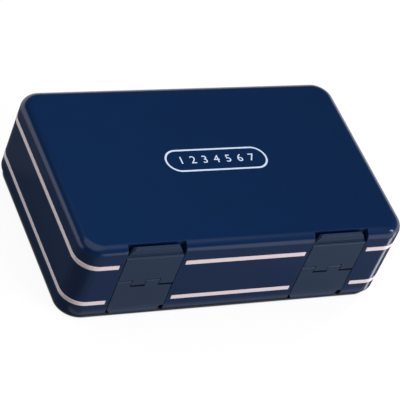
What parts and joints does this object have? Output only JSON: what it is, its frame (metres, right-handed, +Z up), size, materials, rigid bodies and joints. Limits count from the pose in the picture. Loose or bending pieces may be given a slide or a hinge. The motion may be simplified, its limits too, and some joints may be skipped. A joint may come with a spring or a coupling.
{
  "type": "weekly pill organizer",
  "caption": "Flat rounded organizer box with a hinged lid on each face, sealed rims, day cups inside and hooked latch flaps at the front.",
  "frame": {"origin": "centre of the flat underside that the box rests on", "axes": "+X along the length, -Y at the latches, +Y at the hinges, +Z up"},
  "size_m": [0.1602, 0.1025, 0.0443],
  "materials": {
    "navy_abs": "satin gloss",
    "slate_abs": "satin",
    "rose_gold_trim": "metallised",
    "silicone_seal": "matte",
    "cup_polypropylene": "satin",
    "steel_pin": "drawn"
  },
  "bodies": {
    "case": {"case_frame": "navy_abs", "top_seal": "silicone_seal", "bottom_seal": "silicone_seal", "upper_band_front": "rose_gold_trim", "upper_band_rear": "rose_gold_trim", "upper_band_left": "rose_gold_trim", "upper_band_right": "rose_gold_trim", "lower_band_front": "rose_gold_trim", "lower_band_rear": "rose_gold_trim", "lower_band_left": "rose_gold_trim", "lower_band_right": "rose_gold_trim", "left_latch_pin": "steel_pin", "right_latch_pin": "steel_pin", "top_left_hinge_pin": "steel_pin", "top_right_hinge_pin": "steel_pin", "bottom_left_hinge_pin": "steel_pin", "bottom_right_hinge_pin": "steel_pin", "top_cup_1": "cup_polypropylene", "top_cup_2": "cup_polypropylene", "top_cup_3": "cup_polypropylene", "top_cup_4": "cup_polypropylene", "top_cup_5": "cup_polypropylene", "top_cup_6": "cup_polypropylene", "top_cup_7": "cup_polypropylene", "bottom_cup_1": "cup_polypropylene", "bottom_cup_2": "cup_polypropylene", "bottom_cup_3": "cup_polypropylene", "bottom_cup_4": "cup_polypropylene", "bottom_cup_5": "cup_polypropylene", "bottom_cup_6": "cup_polypropylene", "bottom_cup_7": "cup_polypropylene"},
    "top_lid": {"top_lid": "navy_abs"},
    "bottom_lid": {"bottom_lid": "navy_abs"},
    "left_upper_flap": {"left_upper_flap": "slate_abs"},
    "left_lower_flap": {"left_lower_flap": "slate_abs"},
    "right_upper_flap": {"right_upper_flap": "slate_abs"},
    "right_lower_flap": {"right_lower_flap": "slate_abs"}
  },
  "joints": [
    {"name": "top_lid_hinge", "type": "hinge", "parent": "case", "child": "top_lid", "pos_m": [0, 0.0513, 0.03467], "axis": [-1, 0, 0], "range_deg": [0, 150]},
    {"name": "bottom_lid_hinge", "type": "hinge", "parent": "case", "child": "bottom_lid", "pos_m": [0, 0.0513, 0.00962], "axis": [1, 0, 0], "range_deg": [0, 150]},
    {"name": "left_upper_flap_hinge", "type": "hinge", "parent": "case", "child": "left_upper_flap", "pos_m": [-0.0455, -0.04755, 0.02215], "axis": [1, 0, 0], "range_deg": [0, 45]},
    {"name": "left_lower_flap_hinge", "type": "hinge", "parent": "case", "child": "left_lower_flap", "pos_m": [-0.0455, -0.04755, 0.02215], "axis": [-1, 0, 0], "range_deg": [0, 45]},
    {"name": "right_upper_flap_hinge", "type": "hinge", "parent": "case", "child": "right_upper_flap", "pos_m": [0.0455, -0.04755, 0.02215], "axis": [1, 0, 0], "range_deg": [0, 45]},
    {"name": "right_lower_flap_hinge", "type": "hinge", "parent": "case", "child": "right_lower_flap", "pos_m": [0.0455, -0.04755, 0.02215], "axis": [-1, 0, 0], "range_deg": [0, 45]}
  ]
}
